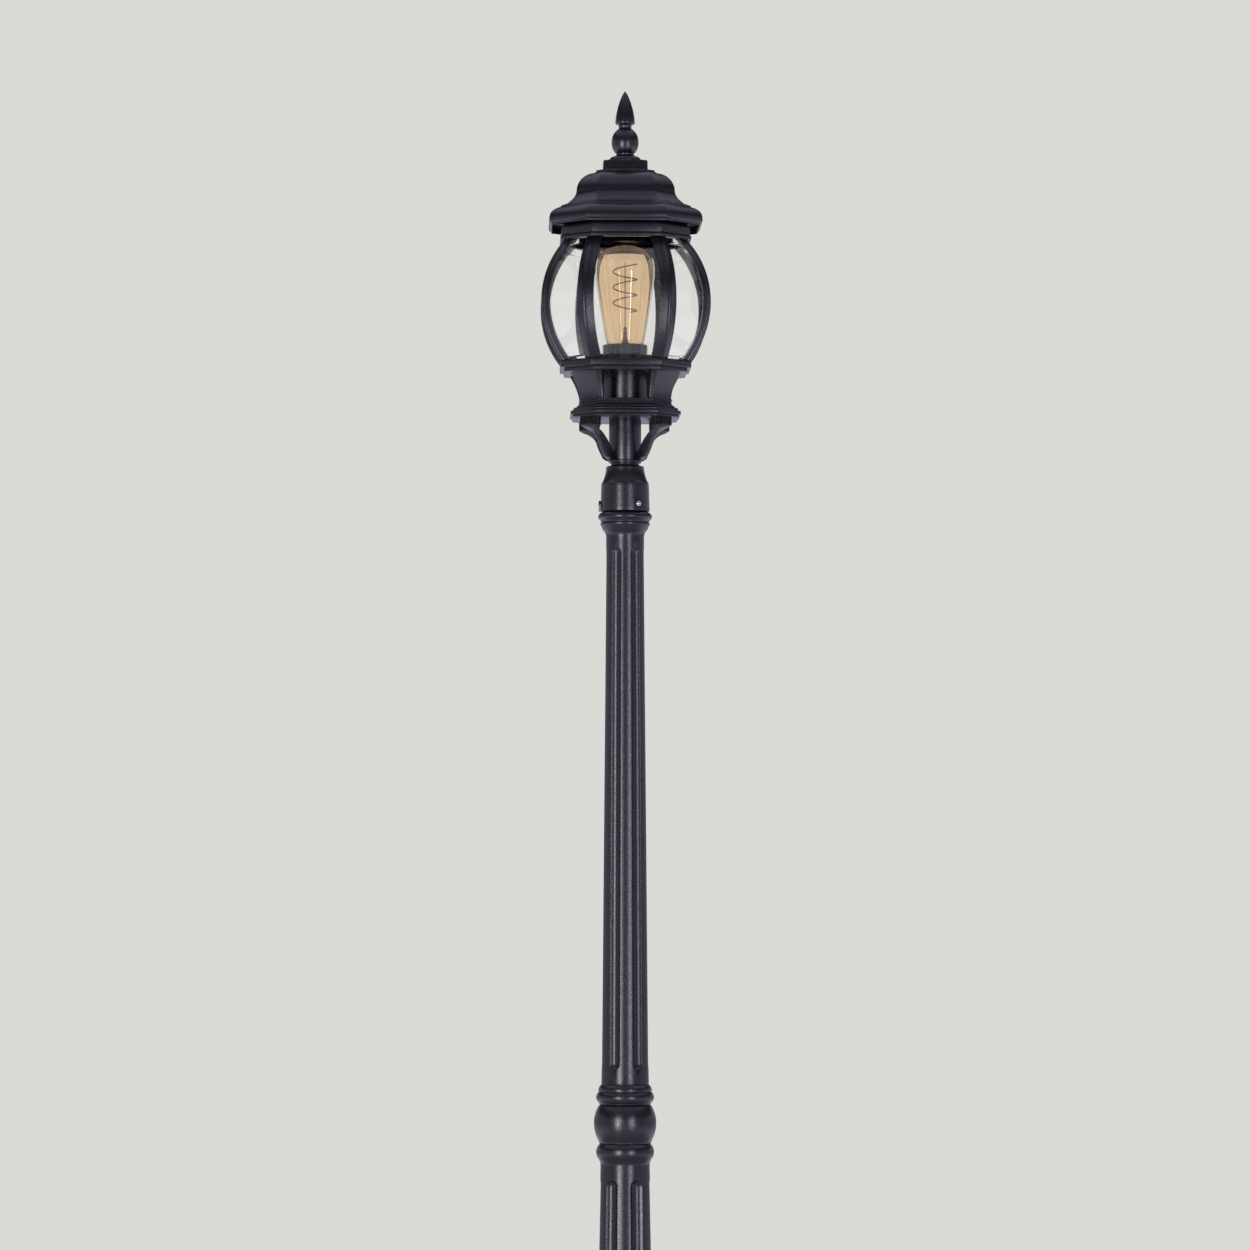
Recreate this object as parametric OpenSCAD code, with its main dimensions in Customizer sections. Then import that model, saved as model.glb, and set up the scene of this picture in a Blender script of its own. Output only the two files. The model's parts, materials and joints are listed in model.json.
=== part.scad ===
// Garden lamp post: a cast base, a fluted post in two lengths with a ball between them,
// and an octagonal coach lantern that turns on the post top.
// Millimetres, +Z up. The origin is the middle of the base, on the ground.
// The front is -Y: the lantern's four wide faces look along -Y, +X, +Y and -X.

/* [Base] */
// Height of the base casting
base_h = 250; // [240:1:260]
// Radius of the round flange on the ground
base_r = 110; // [108:1:114]
// Radius of the circle that the anchor holes lie on
bolt_circle_r = 95; // [94:0.5:96]
// Radius of each anchor hole
bolt_hole_r = 5.5; // [4:0.5:6]
// Number of anchor holes
bolt_count = 4; // [3:1:6]

/* [Post] */
// Height of the lower fluted length
lower_h = 607.5; // [560:0.5:640]
// Height of the ball between the two lengths
ball_h = 41.5; // [41.5:0.5:44]
// Height of the upper fluted length
upper_h = 641.5; // [600:0.5:680]
// Shaft radius at the top of the upper length
upper_top_r = 20.6; // [20:0.1:21.5]
// Shaft radius at the foot of the upper length
upper_foot_r = 25.5; // [24.5:0.1:26]
// Shaft radius at the top of the lower length
lower_top_r = 26.6; // [26:0.1:27]
// Shaft radius at the foot of the lower length
lower_foot_r = 37.5; // [35:0.5:38]
// Greatest radius of the ball
ball_r = 33.7; // [33:0.1:34.2]
// Number of flutes round each length
flute_count = 6; // [4:1:8]

/* [Lantern] */
// Outer radius of the fitter collar at its mouth
collar_r = 26.7; // [26:0.1:27]
// Radius of the round stem between collar and lantern
stem_r = 17.4; // [16.5:0.1:18]
// Half width of the lantern across its ribs at the widest point
bulge_h = 91.6; // [91:0.1:92.5]
// Radius of the arc that the ribs follow
rib_arc_r = 103; // [102:0.5:104]
// Length of each leg of a rib, from the corner along the glass
rib_leg = 10; // [9:0.5:11]
// Thickness of the clear panels
glass_t = 2; // [1.6:0.1:2.2]
// Half width of the roof at its rim
eave_h = 82.8; // [82:0.1:84]
// Share of each half width that stays square before the corners are cut
core = 15; // [13:0.5:16]

/* [Light] */
// Greatest radius of the bulb
bulb_r = 32.2; // [30:0.1:32.5]
// Number of turns of the spiral filament
filament_turns = 3.2; // [2.5:0.1:4]

/* [Hidden] */

$fn = 96;
wall = 4;
fit = 0.05;
tilt45 = tan(22.5);

// Heights of the joints up the post
z_lower = base_h;
z_ball = z_lower + lower_h;
z_upper = z_ball + ball_h;
z_top = z_upper + upper_h;

// Heights in the lantern, measured up from the post top
z_ring = 53.1;
z_stem = 55.8;
z_foot = 100.1;
z_sill = 119.7;
z_flange = 149.4;
z_gallery = 153.6;
z_glass = 161.5;
z_widest = 224.6;
z_lip = 292.6;
z_lip_top = 296.8;
z_eave = 308.4;
z_cap = 368.3;
z_finial = 381.4;
z_tip = 459.5;

// Heights in the roof: the skirt's step, its flange, and the crown's underside
z_step = 306.8;
z_seat = 315.9;
z_crown = 364.7;
bolt_z0 = z_crown - 10.4;
bolt_z1 = 406.3;

// Heights of the lampholder's can, of the pipe through its floor, and of the bulb's cap
can_z0 = 103.9;
can_z1 = 181.6;
can_floor = 3.6;
pipe_z0 = 34;
pipe_z1 = 116.5;
cap_z = can_z0 + 43.3;

// Wall radii and bores
upper_bore_r = 15;
lower_bore_r = 19;
spigot_r = 21.95;
pipe_r = 8;
pipe_bore_r = 5.5;
lead_r = 3.4;
screw_r = 2.95;
screw_z = 7.5;
screw_angles = [-60, 60, 180];
mouth_z = 0.3;
cutter_stand = 5;
bolt_r = 3;

// Turn of the first flute on each length, from +X
lower_turn = -3.9;
upper_turn = 1.9;

// Middle of the arms' upper bend, then the screws that hold the arms to the plate, the
// plate to the neck, and the roof to its ring
bend_x = 61.7;
bend_z = 59.6;
arm_screw_x = 54;
arm_screw_r = 2;
plate_screw_x = 49.2;
plate_screw_r = 1.5;
roof_screw_z = z_lip_top + 5.5;
roof_screw_r = 2;
// Ribs and glass
rib_t = 2.8;
rib_step = 0.9;
rib_crown = 4;
corner_cut = 0.8;
arc_in = bulge_h - rib_arc_r;

black = [0.07, 0.07, 0.08];

// ---- outlines ----

// Points along an arc, or along an ellipse when rz is given
function arc(cx, cz, rx, a0, a1, n = 6, rz = 0) =
  [for (i = [0:n])
    let (a = a0 + (a1 - a0) * i / n)
    [cx + rx * cos(a), cz + (rz > 0 ? rz : rx) * sin(a)]];

// Half of the flat across a corner-cut square: the front face's half width at half size h
function face(h) = core + tilt45 * (h - core);

// The eight corners of the lantern's section at half size h
function octagon(h) =
  let (f = face(h))
  [[f, -h], [h, -f], [h, f], [f, h], [-f, h], [-h, f], [-h, -f], [-f, -h]];

// Half size of the glazed part at height z, set in by dr from the ribs' outer face
function glazing(z, dr) =
  arc_in + sqrt(pow(rib_arc_r - dr, 2) - pow(z - z_widest, 2));

// Height at step i of n up the glazed part
function glazing_z(i, n) = z_glass + (z_lip - z_glass) * i / n;

// ---- solids with the lantern's eight-sided section ----

module prism8(h, z0, z1) {
  translate([0, 0, z0]) linear_extrude(z1 - z0) polygon(octagon(h));
}

// Solid through eight-sided sections, given as [half size, height] from the bottom up
module loft8(steps) {
  n = len(steps);
  points = [for (s = steps, p = octagon(s[0])) [p[0], p[1], s[1]]];
  sides = [for (i = [0:n - 2], j = [0:7])
    [i * 8 + j, (i + 1) * 8 + j, (i + 1) * 8 + (j + 1) % 8, i * 8 + (j + 1) % 8]];
  bottom = [[for (j = [0:7]) j]];
  top = [[for (j = [7:-1:0]) (n - 1) * 8 + j]];
  polyhedron(points, concat(sides, bottom, top), convexity = 6);
}

// Closed ring whose section is a loop of [half size, height], anticlockwise seen with
// the half size to the right
module ring8(loop) {
  n = len(loop);
  points = [for (s = loop, p = octagon(s[0])) [p[0], p[1], s[1]]];
  sides = [for (i = [0:n - 1], j = [0:7])
    let (k = (i + 1) % n)
    [i * 8 + j, k * 8 + j, k * 8 + (j + 1) % 8, i * 8 + (j + 1) % 8]];
  polyhedron(points, sides, convexity = 8);
}

// Straight bar whose section changes with height: rows of points, one row per height
module rows_solid(rows) {
  m = len(rows[0]);
  n = len(rows);
  points = [for (r = rows, p = r) p];
  sides = [for (i = [0:n - 2], j = [0:m - 1])
    [i * m + j, (i + 1) * m + j, (i + 1) * m + (j + 1) % m, i * m + (j + 1) % m]];
  bottom = [[for (j = [0:m - 1]) j]];
  top = [[for (j = [m - 1:-1:0]) (n - 1) * m + j]];
  polyhedron(points, concat(sides, bottom, top), convexity = 6);
}

module turned(points) {
  rotate_extrude() polygon(points);
}

module on_top() {
  translate([0, 0, z_top]) children();
}

// Children at distance x out, at four quarter turns that start at angle first
module quarters(first, x) {
  for (turn = [first:90:first + 270])
    rotate([0, 0, turn]) translate([x, 0, 0]) children();
}

// ---- post ----

// Bell foot with a flat flange, hollow underneath
module base_casting() {
  foot = concat(
    [[base_r - 2, 0]],
    arc(base_r - 2, 9, 2, 0, 90, 4),
    [[86, 11]],
    arc(80, 20, 8, -45, 90, 6, 8),
    [[76, 29]],
    arc(76, 84, 30, -90, -180, 8, 52),
    [[46, 96], [44, 150]],
    arc(42, 170, 9, -75, 75, 8),
    [[42, 186], [40.5, 214], [42, 218]],
    arc(38, 232, 8.5, -65, 65, 8, 11),
    [[40, base_h - 4], [40, base_h]]);
  hollow = concat(
    [[lower_bore_r + 4, base_h], [lower_bore_r + 4, base_h - 34], [35, base_h - 46],
      [38, 150], [40, 96]],
    arc(76, 84, 35, 180, 262, 8, 57),
    [[72, 20], [72, 0]]);
  color(black)
  difference() {
    turned(concat(foot, hollow));
    for (i = [0:bolt_count - 1])
      rotate([0, 0, 45 + 360 / bolt_count * i])
      translate([bolt_circle_r, 0, -1]) cylinder(h = 20, r = bolt_hole_r);
  }
}

// Steel nipple that joins the base to the lower length
module base_coupling() {
  color("silver")
  translate([0, 0, base_h - 34])
  difference() {
    union() {
      cylinder(h = 34, r = lower_bore_r + 4 - fit);
      cylinder(h = 74, r = lower_bore_r - fit);
    }
    translate([0, 0, -1]) cylinder(h = 80, r = lower_bore_r - wall);
  }
}

// Flutes cut by round-ended cutters that lean with the taper of the shaft. Each flute
// runs from height z0 to z1 and is w0 wide to each side of its middle there, w1 at the top
module flutes(r0, r1, z0, z1, w0, w1, turn) {
  lean = atan((r0 - r1) / (z1 - z0));
  length = z1 - z0;
  cutter = concat(
    arc(0, w0, cutter_r(r0, w0), -90, 0, 6),
    arc(0, length - w1, cutter_r(r1, w1), 0, 90, 6));
  for (i = [0:flute_count - 1])
    rotate([0, 0, turn + 360 / flute_count * i])
    translate([r0 + cutter_stand, 0, z0]) rotate([0, -lean, 0])
    rotate_extrude($fn = 48) polygon(cutter);
}

// Radius of a cutter that meets a shaft of radius r at distance w from the flute's middle
function cutter_r(r, w) =
  sqrt(pow(r + cutter_stand - sqrt(r * r - w * w), 2) + w * w);

// Lower fluted length, with a bead and a torus at each end
module lower_post() {
  top = z_ball - z_lower;
  shaft_z0 = 52;
  shaft_z1 = lower_h - 24;
  outline = concat(
    [[40, 0], [40, 2]],
    arc(36, 12, 9, -65, 65, 8, 10),
    [[38, 24]],
    arc(36, 30, 4.4, -60, 60, 6, 5),
    arc(lower_foot_r + 4, shaft_z0, 4, -150, -180, 3, 12),
    [[lower_top_r, shaft_z1]],
    arc(lower_top_r + 2.4, shaft_z1 + 1, 2.4, 180, 120, 3, 5),
    arc(lower_top_r - 2.4, top - 9.2, 7.1, -55, 56, 8, 9.8),
    [[27.9, top - 0.6], [27.4, top]]);
  color(black)
  translate([0, 0, z_lower])
  difference() {
    turned(concat(outline, [[lower_bore_r, top], [lower_bore_r, 0]]));
    flutes(lower_foot_r - 0.4, lower_top_r, 70, lower_h - 39.2, 8.6, 6.7, lower_turn);
  }
}

// Ball spacer between the two lengths
module ball_knop() {
  outline = concat(
    [[27, 0], [28.2, 0.5], [28.2, 1.2]],
    arc(0, ball_h / 2 + 1.5, ball_r, -32, 0, 7, ball_r * 1.11),
    arc(0, ball_h / 2 + 1.5, ball_r, 4, 32, 7, ball_r * 1.02),
    [[28, ball_h - 0.6], [27.4, ball_h]]);
  color(black)
  translate([0, 0, z_ball])
  turned(concat(outline, [[upper_bore_r, ball_h], [upper_bore_r, 0]]));
}

// Threaded tube through the ball, with a shoulder for the wider lower bore
module mid_coupling() {
  color("silver")
  translate([0, 0, z_ball])
  difference() {
    union() {
      translate([0, 0, -40]) cylinder(h = 40, r = lower_bore_r - fit);
      translate([0, 0, -0.1]) cylinder(h = ball_h + 40.1, r = upper_bore_r - fit);
    }
    translate([0, 0, -41]) cylinder(h = ball_h + 90, r = upper_bore_r - wall);
  }
}

// Upper fluted length: ring and torus at the foot, double torus under the lantern
module upper_post() {
  outline = concat(
    [[27.4, 0.4], [28.2, 1.3]],
    arc(23, 8.2, 8.3, -50, 42, 8, 7.8),
    [[27.6, 14]],
    arc(23.9, 15.8, 5, -14, 62, 6, 6.2),
    [[upper_foot_r + 0.2, 22.8], [upper_foot_r, 30]],
    [[upper_top_r, upper_h - 31]],
    arc(upper_top_r + 5, upper_h - 28, 5, 180, 118, 6, 8),
    [[24.6, upper_h - 19]],
    arc(22.8, upper_h - 13.4, 4, -45, 36, 6, 3.6),
    [[26.6, upper_h - 10]],
    arc(22.6, upper_h - 5.4, 6.7, -48, 62, 8, 5),
    [[25, upper_h - 0.5]]);
  color(black)
  translate([0, 0, z_upper])
  difference() {
    turned(concat([[upper_bore_r, 0], [27, 0]], outline,
      [[24.5, upper_h], [upper_bore_r, upper_h]]));
    flutes(upper_foot_r, upper_top_r, 39.2, upper_h - 40, 5.9, 5.2, upper_turn);
  }
}

// Turned plug in the post top that the lantern's collar turns on
module post_spigot() {
  color("silver")
  on_top()
  turned([[pipe_r + 3, -44], [upper_bore_r - fit, -44], [upper_bore_r - fit, 0],
    [spigot_r, 0], [spigot_r, 25.5], [spigot_r - 1.5, 27], [pipe_r + 3, 27]]);
}

// ---- lantern bottom ----

// Round collar that slips over the spigot, with three screw bosses at its mouth
module fitter_collar() {
  skirt_top = 30.2;
  rise = 18.2;
  outline = concat(
    [[collar_r - 0.4, mouth_z], [collar_r, mouth_z + 0.4], [collar_r - 0.8, skirt_top]],
    [for (i = [1:8]) let (t = i / 8) [20.6 + 4.9 * pow(1 - t, 1.7), skirt_top + rise * t]],
    [[19.9, z_ring - 3.9], [15.6, z_ring - 2.9], [15.3, z_ring - 0.5], [17.5, z_ring],
      [17.8, z_ring + 0.5], [17.8, z_stem - 0.4], [17.5, z_stem]]);
  bore = [[pipe_r + 0.1, z_stem], [pipe_r + 0.1, 27.05], [spigot_r + fit, 27.05],
    [spigot_r + fit, mouth_z]];
  color(black)
  on_top()
  difference() {
    union() {
      turned(concat(outline, bore));
      for (a = screw_angles)
        rotate([0, 0, a]) screw_boss();
    }
    for (a = screw_angles)
      rotate([0, 0, a]) translate([20, 0, screw_z]) rotate([0, 90, 0])
      cylinder(h = 20, r = screw_r + fit);
  }
}

// Round pad on the collar that runs down to its lower edge
module screw_boss() {
  reach = 28.6;
  boss_r = 4.6;
  x0 = spigot_r + 2;
  translate([x0, 0, screw_z]) rotate([0, 90, 0]) cylinder(h = reach - x0, r = boss_r);
  translate([x0, -boss_r, mouth_z]) cube([reach - x0, 2 * boss_r, screw_z - mouth_z]);
}

// Grub screw with a hexagon socket
module set_screw(index) {
  tip_x = spigot_r + 0.03;
  color("lightgray")
  on_top()
  rotate([0, 0, screw_angles[index]]) translate([tip_x, 0, screw_z]) rotate([0, 90, 0])
  difference() {
    rotate_extrude()
    polygon([[0, 0], [2, 0], [screw_r, 1], [screw_r, 6.6], [screw_r - 0.5, 7.1], [0, 7.1]]);
    translate([0, 0, 4]) cylinder(h = 4, r = 1.6, $fn = 6);
  }
}

// Plain tube between the collar's ring and the lantern's bottom plate
module stem_tube() {
  color(black)
  on_top()
  turned([[pipe_r + 3, z_stem], [stem_r - 0.3, z_stem], [stem_r, z_stem + 0.4],
    [stem_r, z_foot], [pipe_r + 3, z_foot]]);
}

// Threaded pipe that clamps collar, stem and lantern together and carries the lead
module tie_pipe() {
  color("silver")
  on_top()
  difference() {
    translate([0, 0, pipe_z0]) cylinder(h = pipe_z1 - pipe_z0, r = pipe_r);
    cylinder(h = pipe_z1 + 1, r = pipe_bore_r);
  }
}

// Hexagon nut on the pipe, tight on the lampholder's floor
module tie_nut() {
  color("silver")
  on_top()
  difference() {
    translate([0, 0, can_z0 + can_floor]) cylinder(h = 6, r = 13, $fn = 6);
    translate([0, 0, 20]) cylinder(h = 120, r = pipe_r);
  }
}

// S-shaped strap arm: a side profile cut to an hourglass width, under a reeded lug
module scroll_arm(turn) {
  lug_w = 14;
  lug_in = 45.2;
  lug_out = 63;
  lug_z = 91;
  flute_r = 2;
  flute_out = 0.5;
  flute_z = lug_z + 1.4;
  outer = concat(
    [[17, z_stem + 0.1], [22, z_stem + 0.1], [25.8, z_stem + 1.5]],
    arc(-8.3, 95.3, 52.8, -43, -20, 7),
    arc(bend_x, bend_z, 26, 139, 100, 7, 28.7),
    [[61.5, lug_z - 0.9], [lug_out - 0.3, lug_z + 1]]);
  inner = concat(
    [[lug_in + 0.3, lug_z + 1]],
    arc(bend_x, bend_z, 38.5, 115, 152, 8, 30.8),
    [[22, 66], [stem_r, 60.7]]);
  color(black)
  on_top()
  rotate([0, 0, turn]) {
    difference() {
      intersection() {
        rotate([90, 0, 0]) translate([0, 0, -20]) linear_extrude(40)
          polygon(concat(outer, inner));
        rotate([90, 0, 90]) linear_extrude(80) polygon(arm_width());
      }
      translate([0, 0, 40]) cylinder(h = 40, r = stem_r + 0.02);
      arm_groove(1);
      arm_groove(-1);
    }
    difference() {
      translate([lug_in, -lug_w / 2, lug_z]) cube([lug_out - lug_in, lug_w, z_foot - lug_z]);
      for (s = [-1, 1]) {
        for (i = [0:2])
          translate([lug_out - 3 - 4.2 * i, s * (lug_w / 2 + flute_out), flute_z])
          cylinder(h = 20, r = flute_r, $fn = 24);
      }
      for (y = [-4.3, 0, 4.3])
        translate([lug_out + flute_out, y, flute_z]) cylinder(h = 20, r = flute_r, $fn = 24);
      translate([arm_screw_x, 0, z_foot - 6.5]) cylinder(h = 20, r = arm_screw_r + fit);
    }
  }
}

// Width outline of an arm: wide at the lug and at the ring, narrow between
function arm_width() = concat(
  [for (i = [0:12]) let (z = 54 + 40 * i / 12) [arm_half(z), z]],
  [for (i = [12:-1:0]) let (z = 54 + 40 * i / 12) [-arm_half(z), z]]);

function arm_half(z) =
  2.6 + 2.9 * pow(max(0, (64 - z) / 9), 1.5) + 4.2 * pow(max(0, (z - 79.5) / 12), 1.3);

// Shallow groove that follows the middle of an arm's side
module arm_groove(side) {
  depth = 0.6;
  translate([0, side * 2.6, 0]) rotate([90, 0, 0]) translate([0, 0, -depth])
  linear_extrude(2 * depth)
  polygon(concat(arc(bend_x, bend_z, 32.8, 152, 122, 8, 30.4),
    arc(bend_x, bend_z, 30.8, 122, 152, 8, 29)));
}

// Screws down through the bottom plate into the arms' lugs
module arm_screws() {
  color("silver")
  on_top()
  quarters(45, arm_screw_x) {
    translate([0, 0, z_foot - 6]) cylinder(h = can_z0 - z_foot + 6.1, r = arm_screw_r);
    translate([0, 0, can_z0]) cylinder(h = 2.4, r = 3.6);
  }
}

// Closing plate under the lampholder, bored for the pipe and for two sets of screws
module bottom_plate() {
  color(black)
  on_top()
  difference() {
    prism8(51.8, z_foot, can_z0);
    cylinder(h = 200, r = pipe_r + fit);
    quarters(45, arm_screw_x) cylinder(h = 200, r = arm_screw_r + fit);
    quarters(0, plate_screw_x) countersunk(fit);
  }
}

// Countersunk screw from the plate's underside, grown by gap to make its hole
module countersunk(gap) {
  head = 3;
  z0 = z_foot;
  rotate_extrude()
  polygon([[0, z0 - gap], [head + gap, z0 - gap], [head + gap, z0], [plate_screw_r + gap, z0 + 1.7],
    [plate_screw_r + gap, z0 + 8 + gap], [0, z0 + 8 + gap]]);
}

// Four countersunk screws up through the plate into the foot of the neck casting
module plate_screws() {
  color("silver")
  on_top()
  quarters(0, plate_screw_x) countersunk(0);
}

// ---- lantern body ----

// Half size of the concave neck at height z
function neck_h(z) =
  let (low = z_sill - 2.5)
  48.9 + 10.6 * pow(max(0, (z - low) / (z_flange - low)), 1.9);

// Neck with a moulded foot, four corner panels and four open windows
module neck_casting() {
  skin = 2.6;
  steps = 8;
  outer_neck = [for (i = [0:steps]) let (z = z_sill + 0.6 + (z_flange - z_sill - 0.6) * i / steps)
    [neck_h(z), z]];
  inner_neck = [for (i = [steps:-1:0]) let (z = z_sill + (z_flange + 1 - z_sill) * i / steps)
    [neck_h(z) - skin, z]];
  loop = concat(
    [[52, z_foot + 0.1], [56.2, z_foot], [57.2, z_foot + 0.8], [57.2, z_foot + 2.5]],
    [[56.6, z_foot + 2.8], [58.7, z_foot + 3.1], [59.5, z_foot + 3.8], [59.5, z_foot + 6.5]],
    [[58.7, z_foot + 7.3], [56.6, z_foot + 7.6], [56.6, z_foot + 8.2]],
    arc(52, z_foot + 8.3, 4.8, 10, 80, 4, 2.8),
    arc(53.4, z_sill - 1.6, 4.4, -95, -180, 4, 6),
    [[50.3, z_sill - 0.9], [50.3, z_sill]],
    outer_neck,
    [[65.8, z_flange], [66.4, z_flange + 0.6], [66.4, z_gallery], [57.6, z_gallery]],
    inner_neck,
    [[46.3, z_sill - 3], [46.3, can_z0 + 0.1], [52, can_z0 + 0.1]]);
  color(black)
  on_top() {
    difference() {
      ring8(loop);
      neck_window();
      rotate([0, 0, 90]) neck_window();
      quarters(45, arm_screw_x) translate([0, 0, can_z0]) cylinder(h = 3, r = 3.9);
      quarters(0, plate_screw_x) countersunk(fit);
    }
    for (turn = [0:90:270])
      rotate([0, 0, turn])
      rows_solid([for (i = [0:steps]) neck_leg_row(z_sill + (z_flange + 1 - z_sill) * i / steps, skin)]);
  }
}

// Half width of a neck window at height z
function window_half(z) = 25 + 1.8 * (z - z_sill) / (z_flange - z_sill);

// One row of a leg's section: it thickens the corner panel inward, with drafted sides
function neck_leg_row(z, skin) =
  let (
    depth = 5,
    draft = 1.4,
    wall_h = neck_h(z) - skin + 0.4,
    side = window_half(z))
  [[side + 0.2, wall_h, z], [side - draft, wall_h - depth, z], [wall_h - depth, side - draft, z],
    [wall_h, side + 0.2, z], [wall_h, face(wall_h) - 1, z], [face(wall_h) - 1, wall_h, z]];

// Pair of opposite openings between the corner panels
module neck_window() {
  low = z_sill + 0.5;
  w0 = window_half(low);
  w1 = window_half(z_flange);
  rotate([90, 0, 0]) translate([0, 0, -80]) linear_extrude(160)
    polygon([[-w0, low], [w0, low], [w1, z_flange], [-w1, z_flange]]);
}

// Eight-sided ring that the ribs and the glass stand on
module gallery_ring() {
  color(black)
  on_top()
  ring8([[60, z_gallery], [69.9, z_gallery], [70.7, z_gallery + 0.8], [70.7, z_glass - 0.8],
    [69.9, z_glass], [60, z_glass]]);
}

// Point at distance s from a corner of half size h: leg 0 along the wide face,
// leg 1 along the narrow face
function leg_point(h, s, leg, z) =
  leg == 0
    ? [face(h) - s, h, z]
    : [face(h) + s * cos(45), h - s * sin(45), z];

// One row of a rib's section: an angle strip with a raised crown along its corner
function rib_row(z) =
  let (
    crown = glazing(z, 0),
    flat = glazing(z, rib_step),
    back = glazing(z, rib_t))
  [
    leg_point(back, 0, 0, z),
    leg_point(back, rib_leg, 0, z),
    leg_point(flat, rib_leg, 0, z),
    leg_point(flat, rib_crown, 0, z),
    leg_point(crown, rib_crown, 0, z),
    leg_point(crown, corner_cut, 0, z),
    leg_point(crown, corner_cut, 1, z),
    leg_point(crown, rib_crown, 1, z),
    leg_point(flat, rib_crown, 1, z),
    leg_point(flat, rib_leg, 1, z),
    leg_point(back, rib_leg, 1, z)
  ];

// Curved rib, on the corner that each quarter turn and mirror puts it at
module rib(index) {
  steps = 18;
  quarter = floor(index / 2);
  color(black)
  on_top()
  rotate([0, 0, 90 * quarter]) mirror([index % 2, 0, 0])
  rows_solid([for (i = [0:steps]) rib_row(glazing_z(i, steps))]);
}

// Row of a clear panel's section: half width follows the corner behind the ribs
function panel_row(z, wide) =
  let (
    gap = 0.6,
    skin = rib_t + 0.15,
    ho = glazing(z, skin),
    hi = glazing(z, skin + glass_t),
    wo = (wide ? face(ho) : tilt45 * (ho - core)) - gap,
    wi = (wide ? face(hi) : tilt45 * (hi - core)) - gap,
    shift = wide ? 0 : core * tilt45)
  [[-wo, ho + shift, z], [-wi, hi + shift, z], [wi, hi + shift, z], [wo, ho + shift, z]];

module clear_panel(turn, wide) {
  steps = 18;
  color([0.85, 0.9, 0.92, 0.3])
  on_top()
  rotate([0, 0, turn])
  rows_solid([for (i = [0:steps]) panel_row(glazing_z(i, steps), wide)]);
}

// Ring over the ribs: an outer lip, and an upstand that the roof's skirt drops over
module top_ring() {
  color(black)
  on_top()
  ring8([[58, z_lip], [70.1, z_lip], [70.7, z_lip + 0.6], [70.7, z_lip_top - 0.5],
    [70.2, z_lip_top], [64.4, z_lip_top], [64.4, z_lip_top + 10], [60.5, z_lip_top + 10],
    [60.5, z_lip + 2.6], [58, z_lip + 2.6]]);
}

// ---- roof ----

// Eight-sided band that hangs inside the roof and sits on the top ring
module roof_skirt() {
  z0 = z_lip_top + 0.1;
  color(black)
  on_top()
  difference() {
    ring8([[64.8, z0], [68.8, z0], [69.4, z0 + 0.6], [69.4, z_step - 0.5], [68.9, z_step],
      [66.6, z_step], [66.6, z_seat], [79.3, z_seat], [79.3, z_seat + 2.4], [64.8, z_seat + 2.4]]);
    for (turn = [0, 180])
      rotate([0, 0, turn]) translate([60, 0, roof_screw_z]) rotate([0, 90, 0])
      cylinder(h = 20, r = roof_screw_r + fit);
  }
}

// Two grub screws through the skirt that hold the roof down
module roof_screws() {
  color("silver")
  on_top()
  for (turn = [0, 180])
    rotate([0, 0, turn]) translate([64.6, 0, roof_screw_z]) rotate([0, 90, 0])
    cylinder(h = 4, r = roof_screw_r);
}

// Ogee roof with a rolled rim, hollow underneath
module roof_shell() {
  ogee = [
    [80.3, z_eave], [80.3, z_eave + 1.8], [81.4, z_eave + 2], [eave_h, z_eave + 3.8],
    [eave_h, z_eave + 7.6], [81.8, z_eave + 11.6], [80, z_eave + 14.2],
    [77.6, z_eave + 16.2], [74.2, z_eave + 18], [70.2, z_eave + 19.5],
    [70.2, z_eave + 20.6], [69.4, z_eave + 21], [63.2, z_eave + 23.4]];
  swell = [for (i = [1:6]) let (t = i / 6)
    [53.3 + 9.2 * pow(1 - t, 1.9), z_eave + 24.2 + 13.2 * t]];
  shoulder = arc(31, z_eave + 37.4, 22.3, 0, 82, 8, 21);
  inside = concat(
    [[79.5, z_eave - 1], [79.5, z_seat + 2.5], [76, z_eave + 13.6], [68, z_eave + 16.1],
      [60, z_eave + 19.1]],
    [for (i = [1:5]) let (t = i / 5) [49 + 9 * pow(1 - t, 1.9), z_eave + 20.6 + 12 * t]],
    arc(30, z_eave + 36.6, 19, 8, 80, 5, 18.6));
  color(black)
  on_top()
  difference() {
    loft8(concat(ogee, swell, shoulder, [[31.6, z_cap]]));
    loft8(concat(inside, [[24, z_crown]]));
    translate([0, 0, bolt_z0]) cylinder(h = 30, r = bolt_r + 0.2);
  }
}

// Bolt up through the roof's crown into the finial
module finial_bolt() {
  color("silver")
  on_top()
  translate([0, 0, bolt_z0]) cylinder(h = bolt_z1 - bolt_z0, r = bolt_r);
}

module bolt_nut() {
  color("silver")
  on_top()
  difference() {
    translate([0, 0, z_crown - 5.2]) cylinder(h = 5.2, r = 6.2, $fn = 6);
    translate([0, 0, bolt_z0]) cylinder(h = 20, r = bolt_r);
  }
}

// Square-shouldered eight-sided plinth between roof and finial
module cap_block() {
  color(black)
  on_top()
  difference() {
    union() {
      prism8(31.6, z_cap, z_cap + 1.6);
      loft8([[25.4, z_cap + 1.6], [24.2, z_cap + 3], [24, z_finial - 0.8], [23.2, z_finial]]);
    }
    cylinder(h = 500, r = bolt_r + 0.2);
  }
}

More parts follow.
